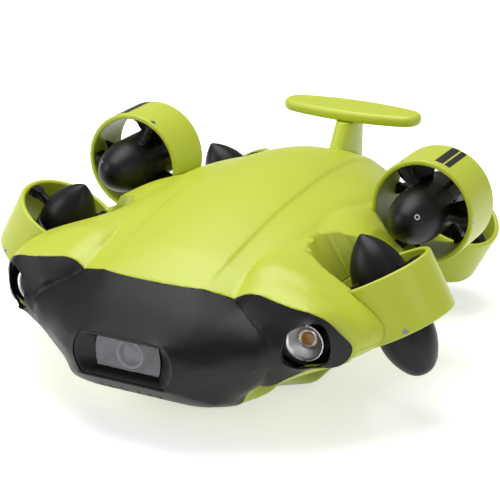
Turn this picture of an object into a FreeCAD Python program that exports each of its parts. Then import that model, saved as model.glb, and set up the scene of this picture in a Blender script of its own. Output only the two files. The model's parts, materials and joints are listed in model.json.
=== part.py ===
"""Compact underwater inspection vehicle with six ducted thrusters, in millimetres.

The nose points along -Y, +Z is up and +X is the vehicle's port side. The origin lies under the
middle of the vehicle, in the plane of its flat belly.
"""
import FreeCAD, Part
import os
import Sketcher

Vector = FreeCAD.Vector

SIZES = (
    # hull
    ("overall_length", 383.0),
    ("hull_length", 363.5),
    ("hull_half_width", 79.0),
    ("hull_height", 123.5),
    ("wing_half_span", 136.0),
    ("shell_wall", 2.6),
    ("parting_height", 63.0),
    ("seam_gap", 0.3),
    ("fit_gap", 0.3),
    ("duct_jacket", 2.4),
    # thrusters
    ("duct_outer_radius", 36.2),
    ("duct_wall", 3.6),
    ("duct_height", 39.0),
    ("duct_lip_radius", 1.5),
    ("pod_radius", 18.5),
    ("pod_wall", 3.6),
    ("nose_tip_reach", 53.0),
    ("nose_cap_length", 29.0),
    ("nose_tip_radius", 13.0),
    ("tail_tip_reach", 45.0),
    ("tail_cap_length", 33.0),
    ("tail_tip_radius", 2.5),
    ("hub_front", 6.0),
    ("hub_back", 9.0),
    ("hub_gap", 0.6),
    ("shaft_radius", 2.0),
    ("bearing_clearance", 0.05),
    ("bearing_depth", 12.0),
    ("motor_length", 24.0),
    ("blade_tip_gap", 0.9),
    ("blade_root_chord", 15.0),
    ("blade_middle_chord", 25.0),
    ("blade_tip_chord", 23.0),
    ("blade_thickness", 2.0),
    ("blade_root_pitch", 42.0),
    ("blade_tip_pitch", 26.0),
    ("strut_width", 4.6),
    ("nose_strut_depth", 11.0),
    ("tail_strut_depth", 5.0),
    ("strut_inset", 1.0),
    ("strut_foot_width", 8.0),
    ("strut_foot_length", 4.0),
    ("duct_screw_inset", 3.2),
    ("duct_screw_head_radius", 1.8),
    ("duct_screw_head_height", 1.2),
    ("duct_screw_shank_radius", 1.0),
    ("duct_screw_length", 6.5),
    # duct places
    ("front_duct_overhang", 44.9),
    ("front_duct_back", 121.3),
    ("front_duct_height", 76.2),
    ("middle_duct_overhang", 32.6),
    ("middle_duct_back", 217.4),
    ("middle_duct_height", 107.0),
    ("rear_duct_overhang", 4.8),
    ("rear_duct_back", 309.8),
    ("rear_duct_height", 54.6),
    ("duct_cant", 28.6),
    ("rear_duct_cant", 30.0),
    ("rear_duct_heading", -17.0),
    ("front_duct_spin", -60.0),
    ("middle_duct_spin", 33.0),
    ("rear_duct_spin", -60.0),
    ("saddle_wall", 4.5),
    ("saddle_length", 26.0),
    ("saddle_reach", 60.0),
    ("inlet_flare", 14.0),
    ("inlet_margin", 2.6),
    # front mask, camera and lamps
    ("seam_setback", 35.5),
    ("visor_width", 58.0),
    ("visor_height", 28.4),
    ("visor_bulge", 6.4),
    ("visor_centre_height", 56.0),
    ("bezel_depth", 8.0),
    ("bezel_setback", 1.0),
    ("bezel_rim", 1.2),
    ("glass_width", 40.6),
    ("glass_height", 16.4),
    ("glass_bulge", 1.5),
    ("glass_rebate", 1.5),
    ("glass_thickness", 2.0),
    ("camera_box_length", 20.0),
    ("camera_box_wall", 1.6),
    ("camera_box_margin", 3.5),
    ("lens_barrel_radius", 9.5),
    ("lens_radius", 7.5),
    ("lens_height", 5.0),
    ("board_thickness", 1.6),
    ("vent_width", 1.6),
    ("vent_length", 7.0),
    ("vent_pitch", 7.6),
    ("vent_height", 29.0),
    ("vent_back", 8.0),
    ("vent_depth", 6.0),
    ("vent_lean", 22.0),
    ("lamp_side", 97.9),
    ("lamp_back", 57.5),
    ("lamp_height", 68.5),
    ("lamp_splay", 8.0),
    ("lamp_recess_depth", 3.0),
    ("lamp_barrel_wall", 2.2),
    ("lamp_window_thickness", 1.2),
    ("reflector_radius", 12.0),
    ("reflector_depth", 8.0),
    ("reflector_wall", 0.9),
    ("emitter_radius", 4.0),
    ("emitter_height", 1.4),
    # inside
    ("capsule_radius", 38.0),
    ("capsule_wall", 3.0),
    ("capsule_front", 62.0),
    ("capsule_length", 150.0),
    ("capsule_centre_height", 60.0),
    ("capsule_round", 6.0),
    ("board_width", 62.0),
    ("board_length", 120.0),
    ("board_rise", 14.0),
    ("battery_width", 50.0),
    ("battery_height", 34.0),
    ("battery_length", 120.0),
    ("battery_drop", 7.0),
    ("rib_thickness", 4.0),
    ("rib_spacing", 90.0),
    ("pillar_radius", 5.0),
    ("pillar_foot_height", 20.0),
    ("screw_bite", 10.0),
    ("shell_screw_radius", 1.5),
    ("shell_screw_head_radius", 2.9),
    ("shell_screw_head_height", 2.4),
    # handle
    ("handle_span", 109.4),
    ("handle_chord", 35.0),
    ("handle_thickness", 8.6),
    ("handle_round", 3.9),
    ("handle_end_radius", 12.0),
    ("handle_back", 330.0),
    ("handle_underside", 122.8),
    ("post_top_chord", 31.0),
    ("post_top_width", 15.0),
    ("post_base_chord", 58.0),
    ("post_base_width", 19.0),
    ("post_base_height", 80.0),
    ("post_back", 341.5),
    ("post_end_radius", 6.0),
    # tail and belly
    ("socket_radius", 11.0),
    ("socket_bore_radius", 6.5),
    ("socket_bore_depth", 10.0),
    ("socket_height", 55.0),
    ("socket_tail_overlap", 8.0),
    ("plate_width", 60.0),
    ("plate_length", 70.0),
    ("plate_thickness", 4.0),
    ("plate_back", 190.0),
    ("plate_seat_wall", 3.0),
    ("plate_hole_radius", 2.1),
    ("plate_hole_spacing", 40.0),
)

# Lines of the hull, in percent: station from the nose, crown height, then (half-width, height) of
# the crease, shoulder, side and bilge, then half-width and height of the keel's edge.
HULL_LINES = (
    (0.0, 57.6, (30.5, 57.3), (42.0, 53.5), (46.2, 45.4), (42.0, 36.5), 33.0, 33.0),
    (1.0, 59.8, (34.0, 59.3), (50.5, 54.2), (58.2, 46.2), (50.5, 36.0), 33.0, 30.4),
    (3.2, 64.4, (38.5, 63.9), (63.5, 56.8), (72.8, 47.0), (61.0, 34.8), 32.0, 24.7),
    (5.9, 70.2, (42.5, 69.4), (73.5, 60.4), (84.8, 47.8), (71.0, 31.3), 33.0, 19.4),
    (8.7, 75.5, (44.7, 74.3), (76.0, 65.0), (93.5, 48.4), (77.5, 26.5), 33.0, 15.0),
    (11.4, 79.8, (46.1, 78.2), (76.5, 69.6), (98.5, 48.6), (80.0, 23.4), 33.0, 10.9),
    (15.5, 84.6, (47.1, 82.0), (77.5, 75.0), (100.0, 48.6), (78.5, 18.6), 32.0, 5.3),
    (20.5, 88.2, (47.8, 85.2), (78.0, 80.0), (100.0, 48.6), (75.5, 15.5), 32.0, 1.6),
    (29.3, 93.7, (48.5, 90.2), (81.0, 85.6), (99.0, 48.6), (78.0, 11.3), 36.0, 0.0),
    (38.4, 97.6, (48.1, 93.6), (83.5, 87.4), (98.7, 48.6), (80.5, 9.0), 43.0, 0.0),
    (46.9, 99.6, (46.8, 95.0), (84.8, 87.4), (98.7, 48.6), (82.0, 8.2), 47.5, 0.0),
    (56.0, 100.0, (44.4, 94.9), (84.8, 86.2), (97.5, 48.6), (81.0, 8.2), 48.0, 0.0),
    (65.0, 98.2, (41.1, 92.8), (81.0, 83.2), (92.5, 48.4), (76.0, 8.8), 45.5, 0.0),
    (73.9, 93.2, (36.8, 88.7), (67.5, 79.2), (78.5, 47.0), (63.5, 9.8), 40.5, 0.0),
    (82.9, 85.4, (31.4, 82.6), (53.5, 73.6), (62.0, 45.4), (49.5, 12.4), 33.0, 1.8),
    (91.2, 75.2, (23.0, 73.0), (42.0, 65.6), (49.4, 45.0), (38.0, 19.4), 25.0, 9.0),
    (96.7, 66.4, (15.5, 64.6), (30.5, 59.2), (36.7, 44.6), (28.0, 26.8), 18.0, 19.4),
    (100.0, 60.0, (10.5, 59.0), (19.5, 54.6), (23.0, 44.6), (18.0, 33.4), 12.0, 30.0),
)

# Lines of the wing, in percent: station from the nose, root top height, (reach, height) of the
# upper face, the tip and the lower face, then root bottom height.
WING_LINES = (
    (11.3, 65.0, (56.0, 65.0), (64.5, 55.0), (57.0, 45.5), 41.0),
    (11.9, 69.5, (62.0, 70.5), (71.5, 55.4), (62.0, 40.0), 35.0),
    (12.7, 72.0, (65.0, 75.2), (77.0, 55.2), (65.0, 36.2), 30.0),
    (14.2, 74.5, (71.5, 75.0), (83.0, 54.4), (71.5, 37.2), 28.0),
    (17.0, 78.0, (75.5, 75.0), (91.5, 53.4), (76.0, 37.6), 27.5),
    (20.3, 81.0, (79.0, 75.0), (96.8, 54.2), (79.0, 37.4), 27.0),
    (23.5, 83.0, (81.0, 74.8), (100.0, 55.4), (81.0, 37.0), 27.0),
    (30.7, 86.0, (79.5, 75.4), (100.5, 55.4), (81.0, 37.2), 27.0),
    (39.0, 86.8, (74.0, 77.6), (94.0, 55.0), (77.0, 38.4), 29.0),
    (45.8, 86.0, (71.5, 77.4), (82.5, 55.0), (71.5, 39.8), 32.0),
    (51.3, 84.6, (69.0, 76.6), (78.5, 56.0), (69.0, 41.2), 35.0),
    (59.6, 81.8, (64.5, 75.0), (74.5, 56.8), (65.0, 43.0), 37.0),
    (66.4, 78.4, (57.5, 71.2), (64.5, 56.8), (57.5, 45.6), 40.5),
    (72.5, 74.0, (44.0, 68.0), (47.0, 56.6), (44.0, 47.0), 44.0),
)
WING_ROOT = 37.0

# Share of the hull's half-width that the hull has beside the rear ducts.
TAIL_SIDE = 54.0

# Plan of the seam between mask and shells, in percent: (half-width of the wing span, distance
# behind the seam's middle as a share of the seam's setback).
SEAM_LINES = (
    (0.0, 0.0), (30.0, 13.0), (44.0, 28.0), (55.0, 30.5), (66.0, 31.0),
    (77.0, 39.5), (87.0, 60.5), (92.5, 76.5), (104.0, 120.0),
)


class Size:
    """A length or angle that knows its value and the spreadsheet expression that gives it."""

    def __init__(self, value, text):
        self.value = value
        self.text = text

    def joined(self, other, sign, value):
        return Size(value, "(%s %s %s)" % (self.text, sign, other.text))

    def __add__(self, other):
        other = sized(other)
        return self.joined(other, "+", self.value + other.value)

    def __radd__(self, other):
        return sized(other) + self

    def __sub__(self, other):
        other = sized(other)
        return self.joined(other, "-", self.value - other.value)

    def __rsub__(self, other):
        return sized(other) - self

    def __mul__(self, other):
        other = sized(other)
        return self.joined(other, "*", self.value * other.value)

    def __rmul__(self, other):
        return sized(other) * self

    def __truediv__(self, other):
        other = sized(other)
        return self.joined(other, "/", self.value / other.value)

    def __neg__(self):
        return 0.0 - self

    def __float__(self):
        return self.value

    def root(self):
        return Size(self.value ** 0.5, "sqrt(%s)" % self.text)


def sized(item):
    """Return item as a Size, whether it is one or a plain number."""
    if isinstance(item, Size):
        return item
    return Size(float(item), "(%r)" % float(item))


def make_sheet(doc):
    """Fill the spreadsheet of driving sizes and return them by name."""
    sheet = doc.addObject("Spreadsheet::Sheet", "Sizes")
    sizes = {}
    for row, (name, value) in enumerate(SIZES, start=1):
        sheet.set("A%d" % row, name)
        sheet.set("B%d" % row, str(value))
        sheet.setAlias("B%d" % row, name)
        sizes[name] = Size(value, "Sizes.%s" % name)
    doc.recompute()
    return sizes


doc = FreeCAD.newDocument("inspection_vehicle")
SIZE = make_sheet(doc)
NODES = []


# ---------------------------------------------------------------- drawing helpers

def name_node(thing, label):
    """Give a finished sub-part the label that names its file."""
    thing.Label = label
    NODES.append(thing)
    return thing


def origin_plane(body, role):
    """Return one of a body's own origin planes or axes."""
    return next(item for item in body.Origin.OriginFeatures if item.Role == role)


def new_body(name):
    """Start an empty PartDesign body."""
    return doc.addObject("PartDesign::Body", name)


def new_sketch(body, role, name, offset=None):
    """Start a sketch on one of the body's origin planes, moved along its normal by offset."""
    sketch = body.newObject("Sketcher::SketchObject", name)
    sketch.AttachmentSupport = [(origin_plane(body, role), "")]
    sketch.MapMode = "FlatFace"
    if offset is not None:
        sketch.setExpression("AttachmentOffset.Base.z", sized(offset).text)
    return sketch


def hold(sketch, kind, arguments, size):
    """Add a constraint to a sketch and bind it to a size."""
    index = sketch.addConstraint(Sketcher.Constraint(kind, *arguments, sized(size).value))
    name = "bound_%d" % index
    sketch.renameConstraint(index, name)
    sketch.setExpression("Constraints.%s" % name, sized(size).text)


def hold_point(sketch, edge, end, point):
    """Hold a sketch point at the given distances from the sketch's origin."""
    for kind, axis, size in (("DistanceX", -2, point[0]), ("DistanceY", -1, point[1])):
        if isinstance(size, Size):
            hold(sketch, kind, (-1, 1, edge, end), size)
        elif size == 0:
            sketch.addConstraint(Sketcher.Constraint("PointOnObject", edge, end, axis))
        else:
            hold(sketch, kind, (-1, 1, edge, end), size)


def arc_between(start, finish, radius):
    """Return the short arc from start to finish, turning left for a positive radius."""
    middle = (start + finish) * 0.5
    chord = finish - start
    rise = (max(radius ** 2 - chord.Length ** 2 / 4, 0.0)) ** 0.5
    left = Vector(-chord.y, chord.x, 0) / chord.Length
    side = 1 if radius > 0 else -1
    centre = middle + left * (side * rise)
    circle = Part.Circle(centre, Vector(0, 0, 1), abs(radius))
    ends = (start, finish) if radius > 0 else (finish, start)
    return Part.ArcOfCircle(circle, circle.parameter(ends[0]), circle.parameter(ends[1]))


def draw_outline(sketch, corners):
    """Draw a closed outline with every corner and radius bound to the sizes.

    A corner is (x, y), reached by a line, or (x, y, radius), reached by an arc that turns left
    for a positive radius and right for a negative one.
    """
    count = len(corners)
    start_ends = []
    base = sketch.GeometryCount
    for index in range(count):
        here = corners[index]
        there = corners[(index + 1) % count]
        start = Vector(float(here[0]), float(here[1]), 0)
        finish = Vector(float(there[0]), float(there[1]), 0)
        if len(there) == 3:
            radius = float(there[2])
            sketch.addGeometry(arc_between(start, finish, radius), False)
            start_ends.append(1 if radius > 0 else 2)
            bound = there[2] if radius > 0 else -sized(there[2])
            hold(sketch, "Radius", (base + index,), bound)
        else:
            sketch.addGeometry(Part.LineSegment(start, finish), False)
            start_ends.append(1)
    for index in range(count):
        following = (index + 1) % count
        join = (base + index, 3 - start_ends[index], base + following, start_ends[following])
        sketch.addConstraint(Sketcher.Constraint("Coincident", *join))
    for index in range(count):
        hold_point(sketch, base + index, start_ends[index], corners[index])


def draw_circle(sketch, x, y, radius):
    """Draw a circle whose centre and radius are bound to the sizes."""
    index = sketch.addGeometry(Part.Circle(Vector(float(x), float(y), 0), Vector(0, 0, 1), float(radius)))
    hold(sketch, "Radius", (index,), radius)
    hold_point(sketch, index, 3, (x, y))


def draw_box(sketch, left, bottom, right, top):
    """Draw a rectangle from its two corners."""
    draw_outline(sketch, ((left, bottom), (right, bottom), (right, top), (left, top)))


def revolve(body, sketch, name):
    """Turn a sketch on the XZ plane about the body's Z axis."""
    feature = body.newObject("PartDesign::Revolution", name)
    feature.Profile = sketch
    feature.ReferenceAxis = (sketch, ["V_Axis"])
    feature.Angle = 360
    body.Tip = feature
    return feature


def pad(body, sketch, name, length):
    """Extrude a sketch along its normal."""
    feature = body.newObject("PartDesign::Pad", name)
    feature.Profile = sketch
    feature.setExpression("Length", sized(length).text)
    body.Tip = feature
    return feature


def pocket(body, sketch, name, length, along_normal):
    """Cut a sketch out of the body to the given length."""
    feature = body.newObject("PartDesign::Pocket", name)
    feature.Profile = sketch
    feature.setExpression("Length", sized(length).text)
    feature.Reversed = along_normal
    body.Tip = feature
    return feature


def repeat_round(body, features, name, count):
    """Repeat features evenly round the body's Z axis."""
    pattern = body.newObject("PartDesign::PolarPattern", name)
    pattern.Originals = features
    pattern.Axis = (origin_plane(body, "Z_Axis"), [""])
    pattern.Angle = 360
    pattern.Occurrences = count
    body.Tip = pattern
    return pattern


def put(thing, base, heading=0, tilt=0, spin=0, along=0):
    """Place a part: moved along and spun about its own axis, tilted, then turned to its heading."""
    numbers = tuple(sized(item).text for item in (*base, heading, tilt, spin, along))
    thing.setExpression(
        "Placement",
        "create(<<placement>>; create(<<vector>>; %s; %s; %s); "
        "create(<<rotation>>; %s; %s; 0) * create(<<rotation>>; %s; 0; 0)) * "
        "create(<<placement>>; create(<<vector>>; 0; 0; %s); create(<<rotation>>; 0; 0; 0))" % numbers,
    )


def mirror_node(source, label):
    """Make the starboard twin of a port part."""
    twin = doc.addObject("Part::Mirroring", label)
    twin.Source = source
    twin.Normal = Vector(1, 0, 0)
    return name_node(twin, label)


def solid_feature(name, shape):
    """Keep a shape built with Part's own functions as a document object."""
    feature = doc.addObject("Part::Feature", name)
    feature.Shape = shape
    return feature


def cut(name, base, tools):
    """Cut several objects out of one."""
    feature = doc.addObject("Part::Cut", name)
    feature.Base = base
    feature.Tool = fuse(name + "_tools", tools) if len(tools) > 1 else tools[0]
    return feature


def fuse(name, shapes):
    """Join several objects."""
    feature = doc.addObject("Part::MultiFuse", name)
    feature.Shapes = shapes
    return feature


def common(name, base, tool):
    """Keep what two objects share."""
    feature = doc.addObject("Part::Common", name)
    feature.Base = base
    feature.Tool = tool
    return feature


def box(name, low, high):
    """A box between two corners."""
    feature = doc.addObject("Part::Box", name)
    for side, start, finish in zip(("Length", "Width", "Height"), low, high):
        feature.setExpression(side, (sized(finish) - start).text)
    put(feature, low)
    return feature


def cylinder(name, radius, place, start, finish):
    """A round bar on the axis of a place, from one distance along it to another."""
    feature = doc.addObject("Part::Cylinder", name)
    feature.setExpression("Radius", sized(radius).text)
    feature.setExpression("Height", (sized(finish) - start).text)
    put(feature, *place, along=start)
    return feature


def cone(name, start_radius, finish_radius, place, start, finish):
    """A tapered bar on the axis of a place, from one distance along it to another."""
    feature = doc.addObject("Part::Cone", name)
    feature.setExpression("Radius1", sized(start_radius).text)
    feature.setExpression("Radius2", sized(finish_radius).text)
    feature.setExpression("Height", (sized(finish) - start).text)
    put(feature, *place, along=start)
    return feature


def both_sides(things):
    """Return port tools together with their starboard mirror images."""
    twins = []
    for thing in things:
        twin = doc.addObject("Part::Mirroring", thing.Name + "_mirrored")
        twin.Source = thing
        twin.Normal = Vector(1, 0, 0)
        twins.append(twin)
    return list(things) + twins


# ---------------------------------------------------------------- thrusters
#
# Each thruster is drawn about its own axis: the round nose at -Z, the pointed tail at +Z.

POD = SIZE["pod_radius"]
DUCT_RADIUS = SIZE["duct_outer_radius"]
DUCT_BORE = DUCT_RADIUS - SIZE["duct_wall"]
DUCT_HALF = SIZE["duct_height"] / 2
NOSE_FACE = -(SIZE["hub_front"] + SIZE["hub_gap"])
TAIL_FACE = SIZE["hub_back"] + SIZE["hub_gap"]
BEARING = SIZE["shaft_radius"] + SIZE["bearing_clearance"]
MOTOR_RADIUS = POD - SIZE["pod_wall"]
MOTOR_SEAT = NOSE_FACE - SIZE["motor_length"]
STRUT_END = DUCT_BORE - SIZE["fit_gap"]
SCREW_LEVEL = SIZE["duct_screw_inset"] - DUCT_HALF


def make_duct(name):
    """The round shroud: a barrel with rounded lips, and three screw holes by its nose rim."""
    body = new_body(name)
    lip = SIZE["duct_lip_radius"]
    profile = new_sketch(body, "XZ_Plane", name + "_profile")
    draw_outline(profile, (
        (DUCT_BORE + lip, -DUCT_HALF, lip),
        (DUCT_RADIUS - lip, -DUCT_HALF),
        (DUCT_RADIUS, lip - DUCT_HALF, lip),
        (DUCT_RADIUS, DUCT_HALF - lip),
        (DUCT_RADIUS - lip, DUCT_HALF, lip),
        (DUCT_BORE + lip, DUCT_HALF),
        (DUCT_BORE, DUCT_HALF - lip, lip),
        (DUCT_BORE, lip - DUCT_HALF),
    ))
    revolve(body, profile, name + "_barrel")
    shank = new_sketch(body, "YZ_Plane", name + "_hole_outline")
    draw_circle(shank, 0, SCREW_LEVEL, SIZE["duct_screw_shank_radius"] + SIZE["bearing_clearance"])
    hole = pocket(body, shank, name + "_hole", DUCT_RADIUS + 1, True)
    floor = DUCT_RADIUS - SIZE["duct_screw_head_height"]
    head = new_sketch(body, "YZ_Plane", name + "_counterbore_outline", floor)
    draw_circle(head, 0, SCREW_LEVEL, SIZE["duct_screw_head_radius"] + SIZE["bearing_clearance"])
    counterbore = pocket(body, head, name + "_counterbore", SIZE["duct_wall"], True)
    repeat_round(body, [hole, counterbore], name + "_holes", 3)
    return body


def draw_strut(sketch, root, direction):
    """Outline one flat strut from the pod to a flared foot inside the duct."""
    half = SIZE["strut_width"] / 2
    foot = SIZE["strut_foot_width"] / 2
    reach = STRUT_END - foot * foot / (2 * STRUT_END)
    flare = STRUT_END - SIZE["strut_foot_length"]
    draw_outline(sketch, (
        (root * direction, -half * direction),
        (flare * direction, -half * direction),
        (reach * direction, -foot * direction),
        (reach * direction, foot * direction, STRUT_END),
        (flare * direction, half * direction),
        (root * direction, half * direction),
    ))


def cap_arcs(tip, length):
    """Return the side arc's radius of a rounded cap, and where it meets the tip's own arc."""
    sweep = (POD * POD - tip * tip + (length - tip) * (length - tip)) / (2 * (POD - tip))
    meet_radius = tip * (sweep - POD) / (sweep - tip)
    meet_reach = (length - tip) * (1 + tip / (sweep - tip))
    return sweep, meet_radius, meet_reach


def make_nose_bracket(name):
    """The round nose pod that holds the motor, on three deep struts screwed to the duct."""
    body = new_body(name)
    tip = SIZE["nose_tip_radius"]
    shoulder = SIZE["nose_cap_length"] - SIZE["nose_tip_reach"]
    sweep, meet_radius, meet_reach = cap_arcs(tip, SIZE["nose_cap_length"])
    profile = new_sketch(body, "XZ_Plane", name + "_profile")
    draw_outline(profile, (
        (0, -SIZE["nose_tip_reach"]),
        (meet_radius, shoulder - meet_reach, tip),
        (POD, shoulder, sweep),
        (POD, NOSE_FACE),
        (MOTOR_RADIUS, NOSE_FACE),
        (MOTOR_RADIUS, MOTOR_SEAT),
        (0, MOTOR_SEAT),
    ))
    revolve(body, profile, name + "_pod")
    level = SIZE["strut_inset"] - DUCT_HALF
    outline = new_sketch(body, "XY_Plane", name + "_strut_outline", level)
    draw_strut(outline, POD - SIZE["pod_wall"] / 2, 1)
    strut = pad(body, outline, name + "_strut", SIZE["nose_strut_depth"])
    screw = new_sketch(body, "YZ_Plane", name + "_screw_outline", STRUT_END - SIZE["duct_screw_length"])
    draw_circle(screw, 0, SCREW_LEVEL, SIZE["duct_screw_shank_radius"] + SIZE["bearing_clearance"])
    hole = pocket(body, screw, name + "_screw_hole", SIZE["duct_screw_length"] + 1, True)
    repeat_round(body, [strut, hole], name + "_struts", 3)
    return body


def make_motor(name):
    """The sealed motor inside the nose pod, bored for the propeller shaft."""
    body = new_body(name)
    radius = MOTOR_RADIUS - SIZE["fit_gap"] / 2
    front = NOSE_FACE - SIZE["fit_gap"]
    collar = POD / 2
    profile = new_sketch(body, "XZ_Plane", name + "_profile")
    draw_outline(profile, (
        (BEARING, MOTOR_SEAT),
        (radius, MOTOR_SEAT),
        (radius, front - SIZE["hub_gap"] * 2),
        (collar, front - SIZE["hub_gap"] * 2),
        (collar, front),
        (BEARING, front),
    ))
    revolve(body, profile, name + "_can")
    return body


def make_shaft(name):
    """The steel shaft from the motor through the hub to the tail bearing."""
    body = new_body(name)
    start = MOTOR_SEAT + SIZE["fit_gap"]
    finish = TAIL_FACE + SIZE["bearing_depth"] - SIZE["fit_gap"]
    section = new_sketch(body, "XY_Plane", name + "_section", start)
    draw_circle(section, 0, 0, SIZE["shaft_radius"])
    pad(body, section, name + "_bar", finish - start)
    return body


def blade_section(body, name, reach, chord, pitch):
    """Draw one cambered blade section across the blade at a distance from the axis."""
    sketch = new_sketch(body, "YZ_Plane", name)
    numbers = (sized(reach).text, sized(pitch).text)
    sketch.setExpression(
        "AttachmentOffset",
        "create(<<placement>>; create(<<vector>>; 0; 0; %s); "
        "create(<<rotation>>; create(<<vector>>; 0; 0; 1); %s))" % numbers,
    )
    half = chord / 2
    rise = SIZE["blade_thickness"]
    edge = rise / 6
    back = (half * half + rise * rise) / (2 * rise)
    face = (half * half + rise * rise / 4) / rise
    draw_outline(sketch, (
        (-half, -edge),
        (half, -edge, -face),
        (half, edge),
        (-half, edge, back),
    ))
    return sketch


def make_propeller(name):
    """The three-bladed propeller: a hub as wide as the pods, with broad cambered blades."""
    body = new_body(name)
    profile = new_sketch(body, "XZ_Plane", name + "_profile")
    draw_box(profile, BEARING, -SIZE["hub_front"], POD, SIZE["hub_back"])
    revolve(body, profile, name + "_hub")
    tip_radius = DUCT_BORE - SIZE["blade_tip_gap"]
    root_reach = POD - SIZE["blade_thickness"]
    tip_reach = DUCT_BORE + SIZE["blade_thickness"]
    middle_pitch = (SIZE["blade_root_pitch"] + SIZE["blade_tip_pitch"]) / 2
    root = blade_section(body, name + "_root", root_reach, SIZE["blade_root_chord"], SIZE["blade_root_pitch"])
    middle = blade_section(
        body, name + "_middle", (root_reach + tip_reach) / 2, SIZE["blade_middle_chord"], middle_pitch)
    tip = blade_section(body, name + "_tip", tip_reach, SIZE["blade_tip_chord"], SIZE["blade_tip_pitch"])
    blade = body.newObject("PartDesign::AdditiveLoft", name + "_blade")
    blade.Profile = root
    blade.Sections = [middle, tip]
    body.Tip = blade
    repeat_round(body, [blade], name + "_blades", 3)
    rim = new_sketch(body, "XY_Plane", name + "_rim", -DUCT_RADIUS)
    draw_circle(rim, 0, 0, tip_radius)
    draw_circle(rim, 0, 0, DUCT_RADIUS * 2)
    pocket(body, rim, name + "_trim", DUCT_RADIUS * 2, True)
    return body


def make_tail_bracket(name):
    """The pointed tail pod with the outer bearing, on three slim struts with screw bosses."""
    body = new_body(name)
    tip = SIZE["tail_tip_radius"]
    shoulder = SIZE["tail_tip_reach"] - SIZE["tail_cap_length"]
    sweep, meet_radius, meet_reach = cap_arcs(tip, SIZE["tail_cap_length"])
    bearing_floor = TAIL_FACE + SIZE["bearing_depth"]
    profile = new_sketch(body, "XZ_Plane", name + "_profile")
    draw_outline(profile, (
        (BEARING, TAIL_FACE),
        (POD, TAIL_FACE),
        (POD, shoulder),
        (meet_radius, shoulder + meet_reach, sweep),
        (0, SIZE["tail_tip_reach"], tip),
        (0, bearing_floor),
        (BEARING, bearing_floor),
    ))
    revolve(body, profile, name + "_pod")
    level = DUCT_HALF - SIZE["strut_inset"] - SIZE["tail_strut_depth"]
    outline = new_sketch(body, "XY_Plane", name + "_strut_outline", level)
    draw_strut(outline, POD - SIZE["pod_wall"], -1)
    strut = pad(body, outline, name + "_strut", SIZE["tail_strut_depth"])
    boss_outline = new_sketch(body, "XY_Plane", name + "_boss_outline", level)
    boss_reach = -(STRUT_END - SIZE["strut_foot_length"])
    draw_circle(boss_outline, boss_reach, 0, SIZE["strut_foot_width"] / 2 - SIZE["fit_gap"])
    boss = pad(body, boss_outline, name + "_boss", SIZE["tail_strut_depth"] + SIZE["strut_inset"])
    repeat_round(body, [strut, boss], name + "_struts", 3)
    return body


THRUSTER_PARTS = (
    ("duct", make_duct),
    ("nose_bracket", make_nose_bracket),
    ("motor", make_motor),
    ("propeller", make_propeller),
    ("propeller_shaft", make_shaft),
    ("tail_bracket", make_tail_bracket),
)


def thruster_places():
    """Return where each port thruster stands: base, heading, tilt and spin."""
    nose = -SIZE["overall_length"] / 2
    side = SIZE["hull_half_width"]
    tail_side = side * TAIL_SIDE / 100 + DUCT_RADIUS
    return {
        "front": (
            (side + SIZE["front_duct_overhang"], nose + SIZE["front_duct_back"], SIZE["front_duct_height"]),
            0, -SIZE["duct_cant"], SIZE["front_duct_spin"]),
        "middle": (
            (side + SIZE["middle_duct_overhang"], nose + SIZE["middle_duct_back"], SIZE["middle_duct_height"]),
            90, 90, SIZE["middle_duct_spin"]),
        "rear": (
            (tail_side + SIZE["rear_duct_overhang"], nose + SIZE["rear_duct_back"], SIZE["rear_duct_height"]),
            SIZE["rear_duct_heading"], SIZE["rear_duct_cant"], SIZE["rear_duct_spin"]),
    }


def make_thrusters():
    """Make the six thrusters, the starboard ones as mirror images of the port ones."""
    for row, place in thruster_places().items():
        for part, make in THRUSTER_PARTS:
            port = make("%s_port_%s" % (row, part))
            put(port, *place)
            name_node(port, "%s_port_%s" % (row, part))
            mirror_node(port, "%s_starboard_%s" % (row, part))


# ---------------------------------------------------------------- hull form
#
# The hull and its wings are lofts through sections, so they are Part features whose numbers
# come from the same sizes as everything else.

NOSE = -SIZE["overall_length"] / 2


def spline(points, start_direction=None, end_direction=None):
    """Return a smooth edge through points, with its end directions where they are given."""
    curve = Part.BSplineCurve()
    if start_direction is None:
        curve.interpolate(points)
    else:
        curve.interpolate(points, InitialTangent=start_direction, FinalTangent=end_direction)
    return curve.toShape()


def station_depth(percent):
    """Return the Y of a station given in percent of the hull's length."""
    return float(NOSE + SIZE["hull_length"] * percent / 100)


def hull_section(line, inset):
    """Return one closed section of the hull, drawn in by the inset."""
    station, crown, crease, shoulder, side, bilge, keel_edge, keel = line
    depth = station_depth(station)
    width = float(SIZE["hull_half_width"]) / 100
    height = float(SIZE["hull_height"]) / 100
    middle = (crown + keel) / 2 * height

    def point(reach, level):
        across = reach * width
        up = level * height
        across -= inset if across > inset else across
        up -= inset if up > middle else -inset
        return Vector(across, depth, up)

    corners = [point(*crease), point(*shoulder), point(*side), point(*bilge), point(keel_edge, keel)]
    opposite = [Vector(-corner.x, corner.y, corner.z) for corner in (corners[0], corners[-1])]
    top = Vector(0, depth, crown * height - inset)
    flank = spline(corners, corners[1] - corners[0], Vector(-1, 0, 0))
    return Part.Wire([
        spline([opposite[0], top, corners[0]]),
        flank,
        Part.LineSegment(corners[-1], opposite[1]).toShape(),
        flank.mirror(Vector(0, 0, 0), Vector(1, 0, 0)),
    ])


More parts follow.
